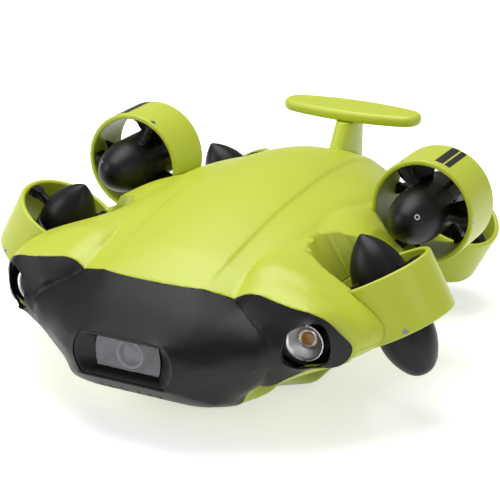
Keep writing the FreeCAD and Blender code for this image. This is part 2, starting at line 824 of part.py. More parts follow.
def wing_section(line, inset):
    """Return one closed section of the port wing, drawn in by the inset."""
    station, root_top, upper, tip, lower, root_bottom = line
    depth = station_depth(station)
    width = float(SIZE["wing_half_span"]) / 100
    height = float(SIZE["hull_height"]) / 100
    middle = tip[1]

    def point(reach, level):
        lift = level * height
        lift += inset if level < middle else -inset if level > middle else 0
        return Vector(reach * width - (inset if reach > WING_ROOT else 0), depth, lift)

    corners = [point(WING_ROOT, root_top), point(*upper), point(*tip), point(*lower)]
    corners.append(point(WING_ROOT, root_bottom))
    return Part.Wire([spline(corners), Part.LineSegment(corners[-1], corners[0]).toShape()])


def hull_form(inset=0.0, first=0, last=None):
    """Return the hull without its wings, from the first to the last of its stations."""
    sections = [hull_section(line, inset) for line in HULL_LINES[first:last]]
    return Part.makeLoft(sections, True, False)


def wing_form(inset=0.0, first=0, last=None):
    """Return the port wing."""
    sections = [wing_section(line, inset) for line in WING_LINES[first:last]]
    return Part.makeLoft(sections, True, False)


def seam_region(name, behind):
    """Return everything ahead of the seam, whose line is moved back by the given gap."""
    half_span = float(SIZE["wing_half_span"])
    middle = float(NOSE + SIZE["seam_setback"]) + behind
    setback = float(SIZE["seam_setback"])
    line = [Vector(half_span * reach / 100, middle + setback * back / 100, 0) for reach, back in SEAM_LINES]
    mirrored = [Vector(-corner.x, corner.y, 0) for corner in reversed(line[1:])]
    corners = mirrored + line
    front = float(NOSE) - 20
    left = Vector(corners[0].x, front, 0)
    right = Vector(corners[-1].x, front, 0)
    outline = Part.Wire([
        spline(corners),
        Part.LineSegment(corners[-1], right).toShape(),
        Part.LineSegment(right, left).toShape(),
        Part.LineSegment(left, corners[0]).toShape(),
    ])
    region = Part.Face(outline).extrude(Vector(0, 0, float(SIZE["hull_height"]) + 60))
    region.translate(Vector(0, 0, -30))
    return solid_feature(name, region)


SPAN = SIZE["wing_half_span"]
TOP = SIZE["hull_height"]
STRAIGHT_BACK = (90, 90, 0)
PLACES = thruster_places()
SEAT_RADIUS = DUCT_RADIUS + SIZE["fit_gap"]
SEAT_HALF = DUCT_HALF + SIZE["fit_gap"]
INLET_RADIUS = POD + SIZE["inlet_margin"]


def along_keel(x, y, z):
    """Return the place of an axis that runs straight back from a point."""
    return ((x, y, z), *STRAIGHT_BACK)


def make_duct_clearances():
    """Cylinders that make room for the ducts and for the water that passes through them."""
    front, middle, rear = PLACES["front"], PLACES["middle"], PLACES["rear"]
    reach = DUCT_RADIUS * 2
    return both_sides([
        cylinder("front_seat", SEAT_RADIUS, front, -reach, SEAT_HALF),
        cylinder("front_inlet", DUCT_BORE, front, DUCT_HALF, reach),
        cylinder("middle_inlet", INLET_RADIUS, middle, -reach, -DUCT_HALF),
        cone("middle_flare", INLET_RADIUS, DUCT_BORE, middle, -(DUCT_HALF + SIZE["inlet_flare"]), -DUCT_HALF),
        cylinder("middle_seat", SEAT_RADIUS, middle, -SEAT_HALF, SEAT_HALF),
        cylinder("middle_outlet", DUCT_BORE, middle, DUCT_HALF, reach),
        cylinder("rear_seat", SEAT_RADIUS, rear, -SEAT_HALF, SEAT_HALF),
        cylinder("rear_inlet", DUCT_BORE, rear, -reach, reach),
    ])


def make_saddle():
    """The port cradle that carries the rear duct against the side of the tail."""
    half = SIZE["saddle_length"] / 2
    blank = cylinder("saddle_blank", SEAT_RADIUS + SIZE["saddle_wall"], PLACES["rear"], -half, half)
    side = SIZE["saddle_reach"]
    region = box("saddle_region", (side / 2, 0, 0), (side, SIZE["overall_length"] / 2, TOP))
    return common("saddle", blank, region)


def make_outer_form():
    """The whole outside of the vehicle's body, with room for the ducts cut out of it."""
    wing = solid_feature("wing", wing_form())
    saddle = make_saddle()
    blank = fuse("outer_blank", [solid_feature("hull", hull_form())] + both_sides([wing, saddle]))
    return cut("outer_form", blank, make_duct_clearances())


def pillar_places():
    """Return the feet of the port pillars that the shell screws run through."""
    side = SIZE["hull_half_width"]
    nose = NOSE
    length = SIZE["hull_length"]
    return [
        (side * 0.73, nose + length * 0.25, 0),
        (side * 0.73, nose + length * 0.50, 0),
        (side * 0.53, nose + length * 0.735, 0),
    ]


def make_core(capsule_place):
    """The room inside the shells, less everything solid that stands in it."""
    inset = float(SIZE["shell_wall"])
    wing = solid_feature("wing_core", wing_form(inset, 2, None))
    blank = fuse("core_blank", [solid_feature("hull_core", hull_form(inset, 2, -1))] + both_sides([wing]))
    jacket = SEAT_RADIUS + SIZE["duct_jacket"]
    reach = DUCT_RADIUS * 2
    jackets = [
        cylinder("%s_jacket" % row, jacket, place, -reach if row == "front" else -SEAT_HALF * 2, reach)
        for row, place in PLACES.items()
    ]
    pillars = [
        cylinder("pillar_%d" % index, SIZE["pillar_radius"], (foot,), 0, TOP)
        for index, foot in enumerate(pillar_places())
    ]
    middle = NOSE + SIZE["capsule_front"] + SIZE["capsule_length"] / 2
    half = SIZE["rib_thickness"] / 2
    slabs = []
    for end in (-1, 1):
        depth = middle + SIZE["rib_spacing"] / 2 * end
        slabs.append(box("rib_%d" % (end + 1), (-SPAN, depth - half, 0), (SPAN, depth + half, TOP)))
    room = cylinder("capsule_room", SIZE["capsule_radius"] + SIZE["fit_gap"], capsule_place, 0,
                    SIZE["capsule_length"])
    ribs = cut("ribs", fuse("rib_slabs", slabs), [room])
    seat = box("plate_seat", *plate_corners(SIZE["plate_seat_wall"], SIZE["plate_seat_wall"]))
    return cut("core", blank, both_sides(jackets + pillars) + [ribs, seat])


def plate_corners(margin, rise):
    """Return two corners of the belly plate, grown sideways by the margin and up by the rise."""
    half_width = SIZE["plate_width"] / 2 + margin
    half_length = SIZE["plate_length"] / 2 + margin
    middle = NOSE + SIZE["plate_back"]
    low = (-half_width, middle - half_length, -rise)
    high = (half_width, middle + half_length, SIZE["plate_thickness"] + rise)
    return low, high


def make_pressure_hull():
    """The sealed capsule with the battery and the main board inside."""
    place = along_keel(0, NOSE + SIZE["capsule_front"], SIZE["capsule_centre_height"])
    body = new_body("pressure_hull")
    radius, length, wall = SIZE["capsule_radius"], SIZE["capsule_length"], SIZE["capsule_wall"]
    edge = SIZE["capsule_round"]
    profile = new_sketch(body, "XZ_Plane", "pressure_hull_profile")
    draw_outline(profile, (
        (0, 0), (radius - edge, 0), (radius, edge, edge), (radius, length - edge),
        (radius - edge, length, edge), (0, length), (0, length - wall),
        (radius - wall, length - wall), (radius - wall, wall), (0, wall),
    ))
    revolve(body, profile, "pressure_hull_tube")
    put(body, *place)
    name_node(body, "pressure_hull")
    middle = NOSE + SIZE["capsule_front"] + length / 2
    level = SIZE["capsule_centre_height"]
    half = SIZE["battery_length"] / 2
    top = level - SIZE["battery_drop"] + SIZE["battery_height"] / 2
    side = SIZE["battery_width"] / 2
    battery = box("battery", (-side, middle - half, top - SIZE["battery_height"]), (side, middle + half, top))
    name_node(battery, "battery_pack")
    half = SIZE["board_length"] / 2
    side = SIZE["board_width"] / 2
    bottom = level + SIZE["board_rise"]
    board = box("board", (-side, middle - half, bottom), (side, middle + half, bottom + SIZE["board_thickness"]))
    name_node(board, "main_board")
    return place


# ---------------------------------------------------------------- camera

def draw_visor(sketch, width, height, bulge):
    """Outline a window with level top and bottom and sides that bow outwards."""
    half_width, half_height = width / 2, height / 2
    sweep = (half_height * half_height + bulge * bulge) / (2 * bulge)
    middle = SIZE["visor_centre_height"]
    draw_outline(sketch, (
        (-half_width, middle - half_height, sweep),
        (half_width, middle - half_height),
        (half_width, middle + half_height, sweep),
        (-half_width, middle + half_height),
    ))


BEZEL_FRONT = NOSE + SIZE["bezel_setback"]
BEZEL_REAR = BEZEL_FRONT + SIZE["bezel_depth"]
CAMERA_LEVEL = SIZE["visor_centre_height"]


def visor_slab(name, width, height, bulge, front, rear):
    """A visor-shaped block between two depths."""
    body = new_body(name)
    outline = new_sketch(body, "XZ_Plane", name + "_outline", -rear)
    draw_visor(outline, width, height, bulge)
    pad(body, outline, name + "_block", rear - front)
    return body


def make_bezel():
    """The black frame round the camera's window, with a sloped reveal and a seat for the glass."""
    gap = SIZE["fit_gap"]
    body = visor_slab(
        "camera_bezel", SIZE["visor_width"] - gap, SIZE["visor_height"] - gap, SIZE["visor_bulge"],
        BEZEL_FRONT, BEZEL_REAR)
    rim = SIZE["bezel_rim"] * 2
    wide = new_sketch(body, "XZ_Plane", "reveal_front", -BEZEL_FRONT)
    draw_visor(wide, SIZE["visor_width"] - rim, SIZE["visor_height"] - rim, SIZE["visor_bulge"])
    narrow = new_sketch(body, "XZ_Plane", "reveal_rear", -BEZEL_REAR)
    draw_visor(narrow, SIZE["glass_width"], SIZE["glass_height"], SIZE["glass_bulge"])
    reveal = body.newObject("PartDesign::SubtractiveLoft", "reveal")
    reveal.Profile = wide
    reveal.Sections = [narrow]
    body.Tip = reveal
    rebate = SIZE["glass_rebate"] * 2
    seat = new_sketch(body, "XZ_Plane", "glass_seat_outline", -BEZEL_REAR)
    draw_visor(seat, SIZE["glass_width"] + rebate, SIZE["glass_height"] + rebate, SIZE["glass_bulge"])
    pocket(body, seat, "glass_seat", SIZE["glass_thickness"] + gap, True)
    name_node(body, "camera_bezel")
    glass = visor_slab(
        "camera_window", SIZE["glass_width"] + rebate - gap, SIZE["glass_height"] + rebate - gap,
        SIZE["glass_bulge"], BEZEL_REAR - SIZE["glass_thickness"], BEZEL_REAR)
    name_node(glass, "camera_window")


def make_camera():
    """The camera behind the window: its box, the lens barrel and the lens."""
    gap = SIZE["fit_gap"]
    front = BEZEL_REAR + gap
    rear = front + SIZE["camera_box_length"]
    margin = SIZE["camera_box_margin"] * 2
    wall = SIZE["camera_box_wall"] * 2
    width, height = SIZE["glass_width"] + margin, SIZE["glass_height"] + margin
    body = visor_slab("camera_housing", width, height, SIZE["glass_bulge"], front, rear)
    room = new_sketch(body, "XZ_Plane", "camera_room_outline", -front)
    draw_visor(room, width - wall, height - wall, SIZE["glass_bulge"])
    floor = rear - SIZE["camera_box_wall"]
    pocket(body, room, "camera_room", floor - front, False)
    name_node(body, "camera_housing")
    lens_front = front + gap * 2
    barrel = new_body("lens_barrel")
    radius, bore = SIZE["lens_barrel_radius"], SIZE["lens_radius"] + SIZE["bearing_clearance"]
    seat = SIZE["lens_height"] / 2
    length = floor - lens_front - gap / 2
    profile = new_sketch(barrel, "XZ_Plane", "lens_barrel_profile")
    draw_outline(profile, (
        (0, seat), (bore, seat), (bore, 0), (radius - gap, 0), (radius, gap), (radius, length), (0, length)))
    revolve(barrel, profile, "lens_barrel_tube")
    put(barrel, *along_keel(0, lens_front, CAMERA_LEVEL))
    name_node(barrel, "lens_barrel")
    lens = new_body("camera_lens")
    edge = SIZE["lens_radius"]
    rise = seat - gap
    sweep = (edge * edge + rise * rise) / (2 * rise)
    profile = new_sketch(lens, "XZ_Plane", "camera_lens_profile")
    draw_outline(profile, ((0, gap), (edge, seat - gap / 2, sweep), (edge, seat), (0, seat)))
    revolve(lens, profile, "camera_lens_glass")
    put(lens, *along_keel(0, lens_front, CAMERA_LEVEL))
    name_node(lens, "camera_lens")


def make_camera_pocket():
    """What the mask loses for the camera: the bezel's seat and a room for the camera's box."""
    margin = (SIZE["camera_box_margin"] + SIZE["fit_gap"]) * 2
    back = BEZEL_REAR + SIZE["camera_box_length"] * 2
    seat = visor_slab(
        "bezel_seat", SIZE["visor_width"], SIZE["visor_height"], SIZE["visor_bulge"],
        NOSE - 1, BEZEL_REAR + SIZE["fit_gap"])
    room = visor_slab(
        "camera_box_room", SIZE["glass_width"] + margin, SIZE["glass_height"] + margin,
        SIZE["glass_bulge"], BEZEL_FRONT, back)
    return [seat, room]


def make_vents():
    """Six slanted slots across the chin, three to each side of the middle."""
    slots = []
    for index in range(3):
        side = SIZE["vent_pitch"] * (index + 0.5)
        slot = doc.addObject("Part::Box", "vent_%d" % index)
        slot.setExpression("Length", SIZE["vent_width"].text)
        slot.setExpression("Width", SIZE["vent_depth"].text)
        slot.setExpression("Height", SIZE["vent_length"].text)
        put(slot, (side, NOSE + SIZE["vent_back"], SIZE["vent_height"]), 0, SIZE["vent_lean"])
        slots.append(slot)
    return both_sides(slots)


# ---------------------------------------------------------------- lamps

LAMP_PLACE = (
    (SIZE["lamp_side"], NOSE + SIZE["lamp_back"], SIZE["lamp_height"]),
    SIZE["lamp_splay"] - 90, 90, 0,
)


def make_lamps():
    """The two lamps: a bright reflector cup and the emitter at its bottom."""
    cup = new_body("lamp_reflector")
    wall, depth, radius = SIZE["reflector_wall"], SIZE["reflector_depth"], SIZE["reflector_radius"]
    base = SIZE["emitter_radius"] + wall * 2
    profile = new_sketch(cup, "XZ_Plane", "reflector_profile")
    draw_outline(profile, (
        (0, -wall), (base + wall, -wall), (radius, depth - wall), (radius, depth),
        (radius - wall, depth), (base, 0), (0, 0)))
    revolve(cup, profile, "reflector_cup")
    put(cup, *LAMP_PLACE)
    name_node(cup, "lamp_reflector_port")
    mirror_node(cup, "lamp_reflector_starboard")
    chip = new_body("lamp_emitter")
    profile = new_sketch(chip, "XZ_Plane", "emitter_profile")
    draw_box(profile, 0, SIZE["bearing_clearance"], SIZE["emitter_radius"], SIZE["emitter_height"])
    revolve(chip, profile, "emitter_disc")
    put(chip, *LAMP_PLACE)
    name_node(chip, "lamp_emitter_port")
    mirror_node(chip, "lamp_emitter_starboard")


# ---------------------------------------------------------------- shells and mask

def make_shell_screws():
    """The screws that draw the shells together, and the holes they need."""
    screws = []
    holes = []
    gap = SIZE["bearing_clearance"]
    foot = SIZE["pillar_foot_height"]
    finish = SIZE["parting_height"] + SIZE["screw_bite"]
    head_top = foot - SIZE["shell_screw_head_height"]
    for index, place in enumerate(pillar_places()):
        screws.append(fuse("screw_%d" % index, [
            cylinder("screw_head_%d" % index, SIZE["shell_screw_head_radius"], (place,), head_top, foot),
            cylinder("screw_shank_%d" % index, SIZE["shell_screw_radius"], (place,), foot, finish),
        ]))
        holes.append(cylinder(
            "screw_well_%d" % index, SIZE["shell_screw_head_radius"] + gap, (place,), -foot, foot + gap))
        holes.append(cylinder(
            "screw_bore_%d" % index, SIZE["shell_screw_radius"] + gap, (place,), 0, finish + gap))
    name_node(fuse("all_shell_screws", both_sides(screws)), "shell_screws")
    return both_sides(holes)


def make_duct_screws():
    """Three screws in each duct, which hold the nose bracket's struts."""
    start = STRUT_END - SIZE["duct_screw_length"] + SIZE["fit_gap"]
    floor = DUCT_RADIUS - SIZE["duct_screw_head_height"]
    sets = []
    for row, place in PLACES.items():
        body = new_body(row + "_screws")
        body.AllowCompound = True
        shank_outline = new_sketch(body, "YZ_Plane", row + "_shank_outline", start)
        draw_circle(shank_outline, 0, SCREW_LEVEL, SIZE["duct_screw_shank_radius"])
        shank = pad(body, shank_outline, row + "_shank", floor - start)
        head_outline = new_sketch(body, "YZ_Plane", row + "_head_outline", floor)
        draw_circle(head_outline, 0, SCREW_LEVEL, SIZE["duct_screw_head_radius"])
        head = pad(body, head_outline, row + "_head", SIZE["duct_screw_head_height"])
        repeat_round(body, [shank, head], row + "_screw_ring", 3)
        put(body, *place)
        sets.append(body)
    name_node(fuse("all_duct_screws", both_sides(sets)), "duct_screws")


def make_shells(outer, core):
    """The upper and lower shells, the front mask and the belly plate."""
    side, high = SPAN * 2, TOP * 2
    front, back = NOSE * 2, -NOSE * 2
    half_gap = SIZE["seam_gap"] / 2
    part_line = SIZE["parting_height"]
    shell_blank = cut("shell_blank", outer, [seam_region("shell_region", float(SIZE["seam_gap"])), core])
    clear = SIZE["reflector_radius"] + SIZE["fit_gap"]
    depth = -SIZE["lamp_recess_depth"]
    recesses = both_sides([cylinder("lamp_recess", clear, LAMP_PLACE, depth, SIZE["reflector_depth"] * 4)])
    holes = make_shell_screws() + recesses
    socket_hole = cylinder(
        "socket_hole", SIZE["socket_radius"] + SIZE["fit_gap"],
        along_keel(0, -NOSE, SIZE["socket_height"]), socket_start() - SIZE["fit_gap"], 1)
    above = box("upper_region", (-side, front, part_line + half_gap), (side, back, high))
    upper = cut("upper_cut", common("upper_blank", shell_blank, above), holes + [socket_hole])
    name_node(upper, "upper_shell")
    below = box("lower_region", (-side, front, -high), (side, back, part_line - half_gap))
    recess = box("plate_recess", *plate_corners(SIZE["fit_gap"], SIZE["fit_gap"]))
    lower = cut("lower_cut", common("lower_blank", shell_blank, below), holes + [socket_hole, recess])
    name_node(lower, "lower_shell")
    mask_blank = cut("mask_blank", common("mask_region", outer, seam_region("front_region", 0.0)), [core])
    barrel = cylinder("lamp_barrel", clear + SIZE["lamp_barrel_wall"], LAMP_PLACE,
                      depth - SIZE["lamp_barrel_wall"], SIZE["reflector_depth"])
    barrels = common("lamp_barrels", fuse("barrel_blanks", both_sides([barrel])), core)
    tools = recesses + make_camera_pocket() + make_vents()
    name_node(cut("mask", fuse("mask_body", [mask_blank, barrels]), tools), "front_mask")


def socket_start():
    """Return how far ahead of the vehicle's rear end the tether socket begins."""
    return SIZE["hull_length"] - SIZE["overall_length"] - SIZE["socket_tail_overlap"]


def make_socket():
    """The blank tether socket in the tail, which a cable gland screws into."""
    place = along_keel(0, -NOSE, SIZE["socket_height"])
    blank = cylinder("socket_blank", SIZE["socket_radius"], place, socket_start(), 0)
    bore = cylinder("socket_bore", SIZE["socket_bore_radius"], place, -SIZE["socket_bore_depth"], 1)
    name_node(cut("socket", blank, [bore]), "tether_socket")


def make_belly_plate():
    """The ballast plate in the belly, with two threaded holes for accessories."""
    low, high = plate_corners(0, 0)
    middle = NOSE + SIZE["plate_back"]
    half = SIZE["plate_hole_spacing"] / 2
    holes = [
        cylinder("plate_hole_%d" % index, SIZE["plate_hole_radius"], ((0, middle + offset, 0),),
                 -1, SIZE["plate_thickness"] + 1)
        for index, offset in enumerate((-half, half))
    ]
    name_node(cut("plate", box("plate_blank", low, high), holes), "belly_plate")


# ---------------------------------------------------------------- handle

def draw_oval(sketch, middle, half_length, half_width, end_radius):
    """Outline an oval of four tangent arcs, long along X, about a middle on the X axis."""
    reach = half_length - end_radius
    sweep = (reach * reach + half_width * half_width - end_radius * end_radius) / (
        2 * (half_width - end_radius))
    share = end_radius / (sweep - end_radius)
    side = reach * (1 + share)
    rise = (sweep - half_width) * share
    draw_outline(sketch, (
        (middle - side, -rise, end_radius),
        (middle + side, -rise, sweep),
        (middle + side, rise, end_radius),
        (middle - side, rise, sweep),
    ))


def make_handle(hull):
    """The carrying handle: an oval bar across a swept post on the tail's back."""
    bar = new_body("handle_bar")
    outline = new_sketch(bar, "XY_Plane", "bar_outline", SIZE["handle_underside"])
    draw_oval(outline, 0, SIZE["handle_span"] / 2, SIZE["handle_chord"] / 2, SIZE["handle_end_radius"])
    blank = pad(bar, outline, "bar_blank", SIZE["handle_thickness"])
    doc.recompute()
    flats = [
        "Face%d" % (index + 1) for index, face in enumerate(blank.Shape.Faces)
        if abs(face.normalAt(0, 0).z) > 0.99
    ]
    rounding = bar.newObject("PartDesign::Fillet", "bar_rounding")
    rounding.Base = (blank, flats)
    rounding.setExpression("Radius", SIZE["handle_round"].text)
    bar.Tip = rounding
    put(bar, (0, NOSE + SIZE["handle_back"], 0))
    name_node(bar, "handle_bar")
    blank = new_body("post_blank")
    sections = []
    for end, level in (("base", SIZE["post_base_height"]), ("top", SIZE["handle_underside"])):
        section = new_sketch(blank, "XY_Plane", "post_%s_section" % end, level)
        half_chord = SIZE["post_%s_chord" % end] / 2
        rear = NOSE + SIZE["post_back"]
        draw_oval(section, rear - half_chord, half_chord, SIZE["post_%s_width" % end] / 2,
                  SIZE["post_end_radius"])
        sections.append(section)
    body_loft = blank.newObject("PartDesign::AdditiveLoft", "post_loft")
    body_loft.Profile = sections[0]
    body_loft.Sections = sections[1:]
    blank.Tip = body_loft
    put(blank, (0, 0, 0), 90)
    name_node(cut("post", blank, [hull]), "handle_post")


# ---------------------------------------------------------------- assembly

def make_vehicle():
    """Make every sub-part in its place."""
    make_thrusters()
    outer = make_outer_form()
    capsule_place = make_pressure_hull()
    core = make_core(capsule_place)
    make_shells(outer, core)
    make_duct_screws()
    make_bezel()
    make_camera()
    make_lamps()
    make_socket()
    make_belly_plate()
    make_handle(doc.getObject("hull"))
    doc.recompute()


def check_document():
    """Stop if any object failed, or if a sub-part's shape is missing or broken."""
    for item in doc.Objects:
        if "Invalid" in item.State or "Error" in item.State:
            raise RuntimeError("%s did not compute: %s" % (item.Name, item.State))
    for node in NODES:
        if node.Shape.isNull() or not node.Shape.isValid() or not node.Shape.Solids:
            raise RuntimeError("%s has no sound shape" % node.Label)


def export_nodes():
    """Write each sub-part to its own STEP file."""
    os.makedirs("parts", exist_ok=True)
    for node in NODES:
        node.Shape.exportStep("parts/%s.step" % node.Label)


make_vehicle()
check_document()
export_nodes()
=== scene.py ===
"""Studio scene of a compact underwater inspection vehicle: faired hull, ducted thrusters, handle."""

import json
import math

import bpy
import numpy as np
from mathutils import Matrix, Vector

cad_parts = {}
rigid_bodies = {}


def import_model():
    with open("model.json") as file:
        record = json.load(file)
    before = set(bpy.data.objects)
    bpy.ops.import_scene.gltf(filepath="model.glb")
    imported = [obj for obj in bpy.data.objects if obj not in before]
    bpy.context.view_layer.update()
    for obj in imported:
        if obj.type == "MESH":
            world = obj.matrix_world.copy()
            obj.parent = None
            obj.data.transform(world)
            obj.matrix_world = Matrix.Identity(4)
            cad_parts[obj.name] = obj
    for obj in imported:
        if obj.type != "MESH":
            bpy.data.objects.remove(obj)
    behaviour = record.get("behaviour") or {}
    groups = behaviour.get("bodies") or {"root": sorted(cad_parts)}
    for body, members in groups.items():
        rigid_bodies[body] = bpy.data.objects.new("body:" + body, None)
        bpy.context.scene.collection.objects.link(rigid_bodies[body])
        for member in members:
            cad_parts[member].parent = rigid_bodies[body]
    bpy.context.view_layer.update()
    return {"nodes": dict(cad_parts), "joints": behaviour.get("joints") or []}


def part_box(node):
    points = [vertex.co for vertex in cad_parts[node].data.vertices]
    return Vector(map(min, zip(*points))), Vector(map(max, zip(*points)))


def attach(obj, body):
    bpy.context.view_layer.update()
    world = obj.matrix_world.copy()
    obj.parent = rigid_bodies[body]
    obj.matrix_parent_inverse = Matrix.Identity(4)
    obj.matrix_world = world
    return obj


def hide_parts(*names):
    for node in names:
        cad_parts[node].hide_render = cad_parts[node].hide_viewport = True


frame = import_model()
nodes = frame["nodes"]

# ---- studio ----
# A plain sweep of pale paper, one broad soft lamp overhead and two weaker ones at the sides.
# The camera stands ahead of the nose, to its port side, and looks a little down.

CAMERA_PLACE = (0.5342, -1.0364, 0.5096)
CAMERA_AZIMUTH = math.radians(27.83)
CAMERA_ELEVATION = math.radians(20.96)
CAMERA_LENS_MM = 129.6
SENSOR_MM = 36
FLOOR_SIZE = 8
FLOOR_DROP = 0.0005  # keeps the belly just clear of the paper
PAPER_GLOW = 0.55  # lets the paper show as white as the backdrop
WORLD_FILL = 0.34  # the share of the backdrop's light that falls on the vehicle
AIM = Vector((0, 0, 0.05))

bpy.ops.object.select_all(action="DESELECT")
bpy.ops.object.camera_add(
    location=CAMERA_PLACE, rotation=(math.pi / 2 - CAMERA_ELEVATION, 0, CAMERA_AZIMUTH))
camera = bpy.context.object
camera.name = "studio_camera"
camera.data.lens = CAMERA_LENS_MM
camera.data.sensor_width = SENSOR_MM
camera.data.clip_start = 0.05
camera.data.clip_end = 20
scene = bpy.context.scene
scene.camera = camera
scene.view_settings.view_transform = "Standard"


def linear(hex_colour):
    """Turn an sRGB hex colour into the linear colour that shaders take."""
    channels = [int(hex_colour[place:place + 2], 16) / 255 for place in (1, 3, 5)]
    return tuple(c / 12.92 if c <= 0.04045 else ((c + 0.055) / 1.055) ** 2.4 for c in channels) + (1,)


def new_material(name, **values):
    """Start a material, set its shader's constant sockets and return it with its tree and shader."""
    material = bpy.data.materials.new(name)
    material.use_nodes = True
    tree = material.node_tree
    shader = tree.nodes["Principled BSDF"]
    for socket, value in values.items():
        shader.inputs[socket.replace("_", " ")].default_value = value
    return material, tree, shader


def add_node(tree, kind, settings=(), values=(), links=()):
    """Add a node with its settings, its socket values and its links from other sockets."""
    node = tree.nodes.new(kind)
    for name, value in dict(settings).items():
        setattr(node, name, value)
    for name, value in dict(values).items():
        node.inputs[name].default_value = value
    for name, socket in dict(links).items():
        tree.links.new(socket, node.inputs[name])
    return node


paper, tree, shader = new_material(
    "matt_white_paper_sweep", Base_Color=linear("#F4F4F4"), Roughness=0.9, Emission_Color=(1, 1, 1, 1))
rays = add_node(tree, "ShaderNodeLightPath")
shown = add_node(
    tree, "ShaderNodeMath", {"operation": "MAXIMUM"},
    links={0: rays.outputs["Is Camera Ray"], 1: rays.outputs["Is Glossy Ray"]})
clear = add_node(
    tree, "ShaderNodeMath", {"operation": "MAXIMUM"},
    links={0: shown.outputs[0], 1: rays.outputs["Is Transmission Ray"]})
glow = add_node(
    tree, "ShaderNodeMath", {"operation": "MULTIPLY"}, {1: PAPER_GLOW}, {0: clear.outputs[0]})
tree.links.new(glow.outputs[0], shader.inputs["Emission Strength"])

bpy.ops.object.select_all(action="DESELECT")
bpy.ops.mesh.primitive_plane_add(size=FLOOR_SIZE, location=(0, 0, -FLOOR_DROP))
floor = bpy.context.object
floor.name = "studio_floor"
floor.data.materials.append(paper)

world = bpy.data.worlds.new("white_studio")
scene.world = world
world.use_nodes = True
tree = world.node_tree
backdrop = tree.nodes["Background"]
backdrop.inputs["Color"].default_value = (1, 1, 1, 1)
rays = add_node(tree, "ShaderNodeLightPath")
shown = add_node(
    tree, "ShaderNodeMath", {"operation": "MAXIMUM"},
    links={0: rays.outputs["Is Camera Ray"], 1: rays.outputs["Is Transmission Ray"]})
strength = add_node(
    tree, "ShaderNodeMapRange",
    values={"To Min": WORLD_FILL, "To Max": 1.0}, links={"Value": shown.outputs[0]})
tree.links.new(strength.outputs[0], backdrop.inputs["Strength"])

for name, place, size, power in (
    ("overhead_softbox", (-0.25, 0.1, 1.5), 1.2, 20),
    ("starboard_softbox", (-1.2, -0.9, 0.8), 0.8, 7),
    ("port_softbox", (1.5, -0.4, 0.7), 0.9, 3),
):
    bpy.ops.object.select_all(action="DESELECT")
    bpy.ops.object.light_add(type="AREA", location=place)
    lamp = bpy.context.object
    lamp.name = name
    lamp.data.size = size
    lamp.data.energy = power
    lamp.rotation_euler = (AIM - Vector(place)).to_track_quat("-Z", "Y").to_euler()

# ---- hull shells ----
# The two shells are injection-moulded ABS in one yellow-green colour, with a satin spark finish.
# They close on each other level with the lamps and are drawn together by six screws from below.


def object_place(tree, centre):
    """Return the socket of a point's place on the piece, counted from the piece's middle."""
    place = add_node(tree, "ShaderNodeTexCoord")
    centred = add_node(
        tree, "ShaderNodeMapping", values={"Location": [-value for value in centre]},
        links={"Vector": place.outputs["Object"]})
    return centred.outputs[0]


def fine_grain(tree, shader, place, scale, low, high, height):
    """Vary the roughness from low to high over a fine grain, and raise the grain by a height."""
    grain = add_node(
        tree, "ShaderNodeTexNoise", values={"Scale": scale, "Detail": 2.0}, links={"Vector": place})
    rough = add_node(
        tree, "ShaderNodeMapRange",
        values={"To Min": low, "To Max": high}, links={"Value": grain.outputs["Fac"]})
    tree.links.new(rough.outputs[0], shader.inputs["Roughness"])
    if not height:
        return
    bump = add_node(
        tree, "ShaderNodeBump",
        values={"Strength": 0.2, "Distance": height}, links={"Height": grain.outputs["Fac"]})
    tree.links.new(bump.outputs[0], shader.inputs["Normal"])


def grained_material(name, centre, grain, rough, height, **values):
    """Make a material of one colour whose roughness varies between two values over a fine grain."""
    material, tree, shader = new_material(name, **values)
    fine_grain(tree, shader, object_place(tree, centre), grain, *rough, height)
    return material


def two_tones(tree, shader, place, scale, detail, first, second):
    """Let the colour drift between two tones over soft clouds of a scale."""
    cloud = add_node(
        tree, "ShaderNodeTexNoise", values={"Scale": scale, "Detail": detail}, links={"Vector": place})
    tone = add_node(tree, "ShaderNodeMix", {"data_type": "RGBA"}, links={"Factor": cloud.outputs["Fac"]})
    tone.inputs["A"].default_value = linear(first)
    tone.inputs["B"].default_value = linear(second)
    tree.links.new(tone.outputs["Result"], shader.inputs["Base Color"])


def lime_plastic(name, centre):
    """Satin moulded ABS: a fine spark texture and a faint cloudiness in the colour."""
    material, tree, shader = new_material(name, IOR=1.5, Coat_Weight=0.25, Coat_Roughness=0.32)
    place = object_place(tree, centre)
    # the pigment drifts a little over about 70 mm
    two_tones(tree, shader, place, 14.0, 3.0, "#BAC62E", "#C3CF38")
    # the real spark texture has 0.2 mm grains, drawn here as 0.8 mm to show
    fine_grain(tree, shader, place, 1250.0, 0.40, 0.50, 0.00008)
    return material


def box_middle(node):
    """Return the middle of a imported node's box."""
    low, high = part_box(node)
    return (Vector(low) + Vector(high)) / 2


def deselect():
    """Leave nothing selected and no mesh in edit mode."""
    if bpy.context.object and bpy.context.object.mode == "EDIT":
        bpy.ops.object.mode_set(mode="OBJECT")
    bpy.ops.object.select_all(action="DESELECT")


def take_up(piece):
    """Make one piece the only one selected, and active."""
    deselect()
    piece.select_set(True)
    bpy.context.view_layer.objects.active = piece


def shade(piece, angle):
    """Shade smooth up to an angle between faces, with normals led by the larger faces."""
    take_up(piece)
    bpy.ops.object.shade_smooth_by_angle(angle=math.radians(angle))
    bpy.ops.object.modifier_add(type="WEIGHTED_NORMAL")
    piece.modifiers[-1].keep_sharp = True
    piece.modifiers[-1].weight = 80
    bpy.ops.object.modifier_apply(modifier=piece.modifiers[-1].name)


MERGE_REACH = 0.000005


